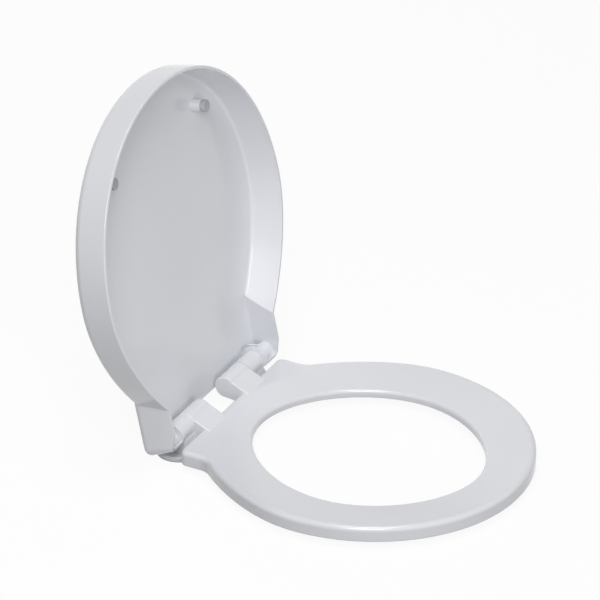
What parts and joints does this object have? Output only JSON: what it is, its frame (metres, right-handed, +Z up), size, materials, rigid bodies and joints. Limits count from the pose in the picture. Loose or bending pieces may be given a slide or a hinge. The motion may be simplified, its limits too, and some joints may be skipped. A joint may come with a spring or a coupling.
{
  "type": "toilet seat",
  "caption": "Round-front soft-close toilet seat: open ring and deep wrap-over lid on a shared damped hinge, with round base discs that bolt to the pan.",
  "frame": {"origin": "on the pan's surface, midway between the two pan bolt holes", "axes": "+X to the seat's right as seen by someone facing its front, +Y towards the cistern, +Z up"},
  "size_m": [0.3724, 0.4696, 0.4024],
  "materials": {
    "white_gloss_plastic": "gloss",
    "grey_rubber": "matte",
    "stud_steel": "satin",
    "bush_plastic": "matte",
    "damper_plastic": "matte",
    "seal_rubber": "matte"
  },
  "bodies": {
    "hinge": {"hinge_post_left": "white_gloss_plastic", "hinge_post_right": "white_gloss_plastic", "release_spring_left": "stud_steel", "release_spring_right": "stud_steel", "lid_damper_housing": "damper_plastic", "lid_damper_cap": "damper_plastic", "lid_damper_seal": "seal_rubber", "ring_damper_rotor": "bush_plastic"},
    "lid": {"lid": "white_gloss_plastic", "lid_buffer_left": "grey_rubber", "lid_buffer_right": "grey_rubber", "lid_bush_left": "bush_plastic", "lid_bush_right": "bush_plastic", "lid_damper_rotor": "bush_plastic"},
    "ring": {"seat_ring": "white_gloss_plastic", "ring_buffer_front_left": "grey_rubber", "ring_buffer_front_right": "grey_rubber", "ring_buffer_rear_left": "grey_rubber", "ring_buffer_rear_right": "grey_rubber", "ring_damper_housing": "damper_plastic", "ring_damper_cap": "damper_plastic", "ring_damper_seal": "seal_rubber"},
    "button_left": {"release_button_left": "white_gloss_plastic"},
    "button_right": {"release_button_right": "white_gloss_plastic"},
    "foot_left": {"base_disc_left": "white_gloss_plastic", "base_gasket_left": "grey_rubber", "base_stud_left": "stud_steel"},
    "foot_right": {"base_disc_right": "white_gloss_plastic", "base_gasket_right": "grey_rubber", "base_stud_right": "stud_steel"}
  },
  "joints": [
    {"name": "lid_hinge", "type": "hinge", "parent": "hinge", "child": "lid", "pos_m": [0, -0.014, 0.0255], "axis": [-1, 0, 0], "range_deg": [-101.9, 0]},
    {"name": "ring_hinge", "type": "hinge", "parent": "hinge", "child": "ring", "pos_m": [0, -0.014, 0.0255], "axis": [-1, 0, 0], "range_deg": [0, 95]},
    {"name": "button_slide_left", "type": "slide", "parent": "hinge", "child": "button_left", "axis": [0, -1, 0], "range_m": [0, 0.0035], "stiffness_N_per_m": 400, "springref_m": -0.004, "deforming": ["release_spring_left"]},
    {"name": "button_slide_right", "type": "slide", "parent": "hinge", "child": "button_right", "axis": [0, -1, 0], "range_m": [0, 0.0035], "stiffness_N_per_m": 400, "springref_m": -0.004, "deforming": ["release_spring_right"]},
    {"name": "foot_swivel_left", "type": "hinge", "parent": "hinge", "child": "foot_left", "pos_m": [-0.0775, -0.014, 0], "axis": [0, 0, 1], "continuous": true},
    {"name": "foot_swivel_right", "type": "hinge", "parent": "hinge", "child": "foot_right", "pos_m": [0.0775, -0.014, 0], "axis": [0, 0, 1], "continuous": true}
  ]
}
